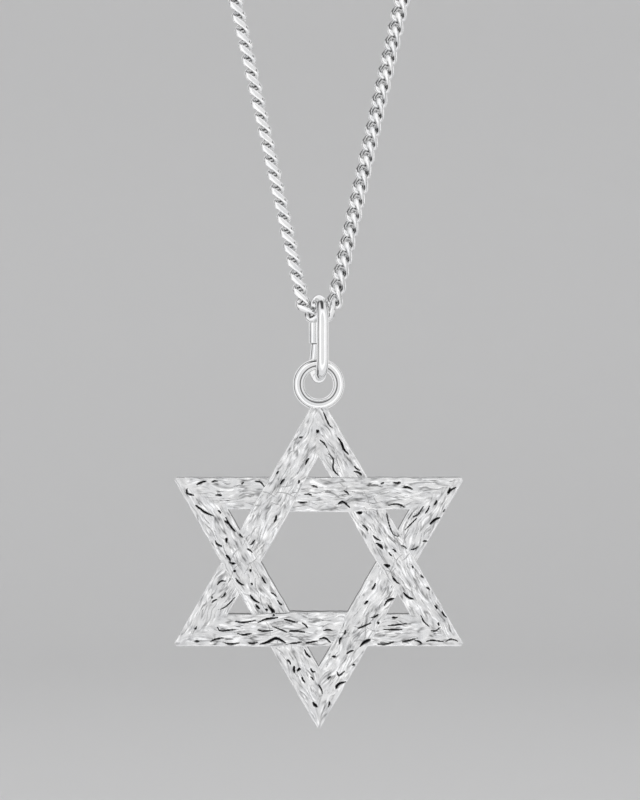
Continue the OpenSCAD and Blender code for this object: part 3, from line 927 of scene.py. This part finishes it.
class ChainRoute:
    """The line that the links follow, from the right end of the clasp round the neck to the left one."""

    def __init__(self, context):
        s = context.scene.necklace_chain
        c = context.scene.necklace_clasp
        self.lean = s.lean
        self.bend = s.bend_radius / MM
        tube = (CHAIN_HIGH.y - CHAIN_LOW.y) / 2 / MM
        self.neck = CHAIN_HIGH.x / MM - tube
        apart = (self.neck - self.bend) / math.sin(self.lean)
        self.bend_z = CHAIN_LOW.z / MM + tube + self.bend
        self.neck_z = self.bend_z + apart
        eye_mid = (c.eye - c.eye_wire) / 2 / MM
        eye_x = (c.diameter - c.wire) / 2 / MM + eye_mid
        self.start = math.pi / 2 - math.asin((eye_x + eye_mid - c.eye_wire / 2 / MM) / self.neck)
        strand = apart * math.cos(self.lean)
        self.parts = [
            self.neck * (self.start + self.lean),
            strand,
            self.bend * (math.pi - 2 * self.lean),
            strand,
            self.neck * (self.start + self.lean),
        ]
        self.total = sum(self.parts)

    def at(self, d):
        """Place in the XZ plane at distance d along the route."""
        lengths = self.parts
        lean = self.lean
        if d < lengths[0]:
            a = self.start - d / self.neck
            return np.array([self.neck * math.cos(a), self.neck_z + self.neck * math.sin(a)])
        d -= lengths[0]
        out = np.array([math.cos(lean), -math.sin(lean)])
        if d < lengths[1]:
            high = self.neck * out + [0, self.neck_z]
            low = self.bend * out + [0, self.bend_z]
            return high + (low - high) * d / lengths[1]
        d -= lengths[1]
        if d < lengths[2]:
            a = -lean - d / self.bend
            lift = BEND_LIFT * math.sin((d / lengths[2]) * math.pi) ** 4
            r = self.bend - lift
            return np.array([r * math.cos(a), self.bend_z + r * math.sin(a)])
        d -= lengths[2]
        out = np.array([-math.cos(lean), -math.sin(lean)])
        if d < lengths[3]:
            low = self.bend * out + [0, self.bend_z]
            high = self.neck * out + [0, self.neck_z]
            return low + (high - low) * d / lengths[3]
        d -= lengths[3]
        a = math.pi + lean - d / self.neck
        return np.array([self.neck * math.cos(a), self.neck_z + self.neck * math.sin(a)])


LINK_AROUND, LINK_ACROSS = 24, 10
WHOLE_TWIST = (-1, 1)


def link_skin(settings, step, here, there, roll, twisted=WHOLE_TWIST):
    """Points of one twisted oval link between two places of the route, and the painted shade of each.

    An end link is twisted only on the chain's side and is a little wider, so that the clasp's eye fits it.
    """
    wire, half_width = settings.wire / MM, settings.half_width / MM
    if twisted != WHOLE_TWIST:
        half_width += END_SLACK
    half_length = (step + wire) / 2 + LINK_EXTRA
    a = np.arange(LINK_AROUND) * 2 * math.pi / LINK_AROUND
    b = np.arange(LINK_ACROSS) * 2 * math.pi / LINK_ACROSS
    along = half_length * np.sign(np.cos(a)) * np.abs(np.cos(a)) ** LINK_SQUARE
    beside = half_width * np.sign(np.sin(a)) * np.abs(np.sin(a)) ** LINK_SQUARE
    centre = (here + there) / 2
    ahead = (there - here) / np.linalg.norm(there - here)
    t = np.array([ahead[0], 0, ahead[1]])
    turn = (roll + settings.twist * np.clip(along / half_length, *twisted))[:, None]
    level, deep = np.array([-ahead[1], 0, ahead[0]]), np.array([0, 1, 0])
    side = np.cos(turn) * level + np.sin(turn) * deep
    middle = along[:, None] * t + beside[:, None] * side
    tangent = np.roll(middle, -1, 0) - np.roll(middle, 1, 0)
    tangent /= np.linalg.norm(tangent, axis=1)[:, None]
    outward = middle - (middle * tangent).sum(1)[:, None] * tangent
    outward /= np.linalg.norm(outward, axis=1)[:, None]
    up = np.cross(tangent, outward)
    ring = middle[:, None, :] + wire / 2 * (
        np.cos(b)[None, :, None] * outward[:, None, :] + np.sin(b)[None, :, None] * up[:, None, :]
    )
    for turn in (roll + settings.flat_turn, roll + settings.flat_turn + math.pi / 2):
        facing = math.cos(turn) * level + math.sin(turn) * deep
        height = ring @ facing
        ring -= (height - np.clip(height, -settings.flat / MM, settings.flat / MM))[..., None] * facing
    # Painted shade in the link's core, near the chain's middle, where the wires shade each other
    black = CORE_PAINTED_SHADE * (1 - ease(np.hypot(ring @ level, ring @ deep), *DARK_CORE))
    ring += np.array([centre[0], 0, centre[1]])
    return ring.reshape(-1, 3), black.ravel()


class NECKLACE_OT_chain(bpy.types.Operator):
    """Builds the whole curb chain out of interlocked twisted links"""

    bl_idname = "necklace.make_chain"
    bl_label = "Make chain"

    def execute(self, context):
        s = context.scene.necklace_chain
        route = ChainRoute(context)
        count = round(route.total / (s.pitch / MM))
        step = route.total / count
        mid_bend = sum(route.parts[:2]) + route.parts[2] / 2
        rolls_at = [mid_bend + away for away, degrees in ROLLS]
        rolls = np.radians([degrees for away, degrees in ROLLS])
        uneven = np.random.default_rng(5)
        skins = []
        for number in range(count):
            roll = np.interp((number + 0.5) * step, rolls_at, rolls) + uneven.normal(0, ROLL_STRAY)
            twisted = (0 if number == 0 else -1, 0 if number == count - 1 else 1)
            here, there = route.at(number * step), route.at((number + 1) * step - 1e-9)
            skins.append(link_skin(s, step, here, there, roll, twisted))
        quads = []
        for i in range(LINK_AROUND):
            for j in range(LINK_ACROSS):
                m = (j + 1) % LINK_ACROSS
                a, b = i * LINK_ACROSS, (i + 1) % LINK_AROUND * LINK_ACROSS
                quads.append([a + j, b + j, b + m, a + m])
        size = LINK_AROUND * LINK_ACROSS
        faces = np.concatenate([np.array(quads) + n * size for n in range(count)]).tolist()
        points, black = (np.concatenate(part) for part in zip(*skins))
        chain = new_object("curb_chain", points, faces, [silver("link_wire")], 40, None, {"soot": black})
        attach(chain, "necklace")
        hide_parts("chain")
        return {"FINISHED"}


# Clasp


class NECKLACE_OT_clasp(bpy.types.Operator):
    """Builds the round clasp with its slot, bolt seams and two eyes"""

    bl_idname = "necklace.make_clasp"
    bl_label = "Make clasp"

    def execute(self, context):
        s = context.scene.necklace_clasp
        z = (CLASP_LOW.z + CLASP_HIGH.z) / 2 / MM
        wire, eye_wire = s.wire / MM, s.eye_wire / MM
        mid = (s.diameter / MM - wire) / 2
        eye_mid = (s.eye / MM - eye_wire) / 2
        around, across = 144, 32
        slot_from, slot_to = math.radians(18), math.radians(48)
        slot_half, slot_depth = 0.25, 0.16
        seams, seam_depth = (math.radians(200), math.radians(236)), 0.05

        def place(i, j):
            a, b = 2 * math.pi * i / around, 2 * math.pi * j / across
            size = wire / 2
            for seam in seams:
                if abs(a - seam) < math.pi / around * 1.5:
                    size -= seam_depth
            if slot_from < a < slot_to and abs(b - math.pi / 2) < slot_half:
                size -= slot_depth
            r = mid + size * math.cos(b)
            return (r * math.cos(a), -size * math.sin(b), z + r * math.sin(a))

        points, faces = swept(across, around, place, True)
        faces = [f[::-1] for f in faces]
        finish, clean = [silver("bright_wire")], {"soot": [0] * len(points)}
        body = new_object("round_clasp", points, faces, finish, 50, None, clean)
        parts = []
        for side in (-1, 1):
            points, faces = torus((side * (mid + eye_mid), 0, z), eye_mid, eye_wire, 72, 24)
            clean = {"soot": [0] * len(points)}
            parts.append(new_object("eye", points, faces, finish, 60, None, clean))
        united(body, parts)
        body.data.shade_smooth()
        body.data.set_sharp_from_angle(angle=math.radians(50))
        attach(body, "necklace")
        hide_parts("clasp")
        return {"FINISHED"}


# Stage


def lamp(name, place, aim, width, height, power, seen_in_metal=True):
    """A rectangular soft light that faces a point."""
    data = bpy.data.lights.new(name, "AREA")
    data.shape, data.size, data.size_y, data.energy = "RECTANGLE", width, height, power
    made = bpy.data.objects.new(name, data)
    made.location = place
    made.rotation_euler = (Vector(aim) - Vector(place)).to_track_quat("-Z", "Y").to_euler()
    made.visible_camera = False
    made.visible_glossy = seen_in_metal
    bpy.context.scene.collection.objects.link(made)
    return made


# Brightness of the light tent, and how far its folds move its bright and dark parts, in radians
TENT_STRENGTH = 1.24
FOLD_SWAY = 0.3
# What the polished metal mirrors, by the angle from straight in front: degrees and brightness
GLOW_LEFT = [
    (0, 0.67), (28, 0.67), (36, 0.97), (50, 0.97), (62, 0.69), (88, 0.67), (93, 0.08), (110, 0.08),
    (116, 0.75), (155, 0.84), (163, 0.26), (180, 0.14),
]
GLOW_RIGHT = [
    (0, 0.67), (28, 0.67), (36, 0.97), (50, 0.97), (62, 0.69), (107, 0.67), (111, 0.15), (121, 0.15),
    (126, 0.75), (155, 0.84), (163, 0.26), (180, 0.14),
]
GLOW_ABOVE = [
    (0, 0.67), (28, 0.67), (36, 0.92), (49, 0.80), (55, 0.06), (96, 0.05), (103, 0.70), (155, 0.84),
    (163, 0.26), (180, 0.14),
]


def studio_world(scene):
    """White walls of a photographer's light tent, with dark gaps at its sides and a dim back."""
    world = scene.world or bpy.data.worlds.new("studio")
    scene.world = world
    world.use_nodes = True
    tree = world.node_tree
    links = tree.links.new
    place = node(tree, "ShaderNodeTexCoord")
    split = node(tree, "ShaderNodeSeparateXYZ")
    links(place.outputs["Generated"], split.inputs["Vector"])
    behind = node(tree, "ShaderNodeMath", operation="MULTIPLY")
    behind.inputs[1].default_value = -1.0
    links(split.outputs["Y"], behind.inputs[0])
    angle = node(tree, "ShaderNodeMath", operation="ARCCOSINE")
    links(behind.outputs["Value"], angle.inputs[0])
    folds = node(tree, "ShaderNodeTexNoise", in_Scale=2.2, in_Detail=1.0)
    links(place.outputs["Generated"], folds.inputs["Vector"])
    sway = node(tree, "ShaderNodeMath", operation="MULTIPLY_ADD")
    sway.inputs[1].default_value = FOLD_SWAY
    links(folds.outputs["Fac"], sway.inputs[0])
    links(angle.outputs["Value"], sway.inputs[2])
    level = node(tree, "ShaderNodeMapRange")
    level.inputs["From Min"].default_value = FOLD_SWAY / 2
    level.inputs["From Max"].default_value = math.pi + FOLD_SWAY / 2
    links(sway.outputs["Value"], level.inputs["Value"])
    ramps = []
    for glow in (GLOW_LEFT, GLOW_RIGHT, GLOW_ABOVE):
        ramp = node(tree, "ShaderNodeValToRGB")
        stops = ramp.color_ramp.elements
        while len(stops) < len(glow):
            stops.new(0.5)
        for stop, (degrees, bright) in zip(stops, glow):
            stop.position = degrees / 180
            stop.color = (bright, bright, bright * 1.01, 1)
        links(level.outputs["Result"], ramp.inputs["Fac"])
        ramps.append(ramp.outputs["Color"])

    def limited(socket, start, end):
        """The socket's value brought from the given range to 0 and 1."""
        limits = node(tree, "ShaderNodeMapRange")
        limits.inputs["From Min"].default_value = start
        limits.inputs["From Max"].default_value = end
        links(socket, limits.inputs["Value"])
        return limits.outputs["Result"]

    aside = node(tree, "ShaderNodeMath", operation="ABSOLUTE")
    links(split.outputs["X"], aside.inputs[0])
    overhead = node(tree, "ShaderNodeMath", operation="MULTIPLY")
    links(limited(split.outputs["Z"], 0.4, 0.6), overhead.inputs[0])
    links(limited(aside.outputs["Value"], 0.5, 0.25), overhead.inputs[1])
    mixed = ramps[0]
    rightward = limited(split.outputs["X"], -0.2, 0.2)
    for factor, ramp in ((rightward, ramps[1]), (overhead.outputs["Value"], ramps[2])):
        blend = node(tree, "ShaderNodeMix", data_type="RGBA")
        links(factor, blend.inputs[0])
        links(mixed, blend.inputs[6])
        links(ramp, blend.inputs[7])
        mixed = blend.outputs[2]
    links(mixed, tree.nodes["Background"].inputs["Color"])
    tree.nodes["Background"].inputs["Strength"].default_value = TENT_STRENGTH


class NECKLACE_OT_stage(bpy.types.Operator):
    """Builds the pale floor with its sweep, the soft light and the camera"""

    bl_idname = "necklace.set_stage"
    bl_label = "Set stage"

    def execute(self, context):
        scene = context.scene
        s = scene.necklace_stage
        floor_z = CAD_LOW[2] - s.floor_drop
        fillet, wall = 0.7, 1.3
        outline = [(0.0, 0.0), (s.room_radius * 0.4, 0.0), (s.room_radius - fillet, 0.0)]
        for i in range(1, 13):
            a = math.pi / 2 * i / 12
            outline.append((s.room_radius - fillet + fillet * math.sin(a), fillet - fillet * math.cos(a)))
        outline.append((s.room_radius, wall))
        around = 96
        points, faces = [], []
        for r, h in outline:
            for j in range(around):
                a = 2 * math.pi * j / around
                points.append((r * math.cos(a) / MM, r * math.sin(a) / MM, (floor_z + h) / MM))
        for i in range(len(outline) - 1):
            for j in range(around):
                k = (j + 1) % around
                faces.append((i * around + j, (i + 1) * around + j, (i + 1) * around + k, i * around + k))
        paint = bpy.data.materials.new("pale_sweep")
        paint.use_nodes = True
        tree = paint.node_tree
        shader = tree.nodes["Principled BSDF"]
        shader.inputs["Roughness"].default_value = 0.85
        shader.inputs["Specular IOR Level"].default_value = 0.15
        cloud = node(tree, "ShaderNodeTexNoise", in_Scale=2.5, in_Detail=2.0)
        ramp = node(tree, "ShaderNodeValToRGB")
        ramp.color_ramp.elements[0].color = (*[c * 0.985 for c in s.floor], 1)
        ramp.color_ramp.elements[1].color = (*s.floor, 1)
        tree.links.new(cloud.outputs["Fac"], ramp.inputs["Fac"])
        tree.links.new(ramp.outputs["Color"], shader.inputs["Base Color"])
        floor = new_object("studio_sweep", points, faces, [paint], 60)
        floor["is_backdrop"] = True

        floor.visible_glossy = False
        studio_world(scene)
        height, size, power = 1.6, 3.2, 22.0
        lamp("ceiling", (0.0, 0.0, height), (0, 0, 0), size, size, power, seen_in_metal=False)

        data = bpy.data.cameras.new("camera")
        data.lens = s.lens
        data.sensor_width = 36.0
        data.clip_start, data.clip_end = 0.01, 20.0
        camera = bpy.data.objects.new("camera", data)
        star = scene.necklace_star
        away = s.view_height * s.lens / data.sensor_width + star.front
        camera.location = (s.view_x, -away, s.view_z)
        camera.rotation_euler = (math.pi / 2, 0, 0)
        scene.collection.objects.link(camera)
        scene.camera = camera
        scene.view_settings.view_transform = "Standard"
        return {"FINISHED"}


class NECKLACE_PT_build(bpy.types.Panel):
    """Lists the pieces of the necklace"""

    bl_idname = "NECKLACE_PT_build"
    bl_label = "Woven Star Necklace"
    bl_space_type = "VIEW_3D"
    bl_region_type = "UI"
    bl_category = "Necklace"

    def draw(self, context):
        layout = self.layout
        for operator in OPERATORS:
            layout.operator(operator.bl_idname)
        for name, group in SETTINGS.items():
            box = layout.box()
            settings = getattr(context.scene, name)
            for key in group.__annotations__:
                box.prop(settings, key)


OPERATORS = (NECKLACE_OT_star, NECKLACE_OT_bail, NECKLACE_OT_chain, NECKLACE_OT_clasp, NECKLACE_OT_stage)
SETTINGS = {
    "necklace_star": StarSettings,
    "necklace_ring": RingSettings,
    "necklace_chain": ChainSettings,
    "necklace_clasp": ClaspSettings,
    "necklace_metal": MetalSettings,
    "necklace_stage": StageSettings,
}


def register():
    for group in SETTINGS.values():
        bpy.utils.register_class(group)
    for name, group in SETTINGS.items():
        setattr(bpy.types.Scene, name, bpy.props.PointerProperty(type=group))
    for operator in OPERATORS:
        bpy.utils.register_class(operator)
    bpy.utils.register_class(NECKLACE_PT_build)


def unregister():
    bpy.utils.unregister_class(NECKLACE_PT_build)
    for operator in reversed(OPERATORS):
        bpy.utils.unregister_class(operator)
    for name in SETTINGS:
        delattr(bpy.types.Scene, name)
    for group in reversed(list(SETTINGS.values())):
        bpy.utils.unregister_class(group)


def main():
    register()
    bpy.ops.necklace.make_star()
    bpy.ops.necklace.make_bail()
    bpy.ops.necklace.make_chain()
    bpy.ops.necklace.make_clasp()
    bpy.ops.necklace.set_stage()


if __name__ == "__main__":
    main()
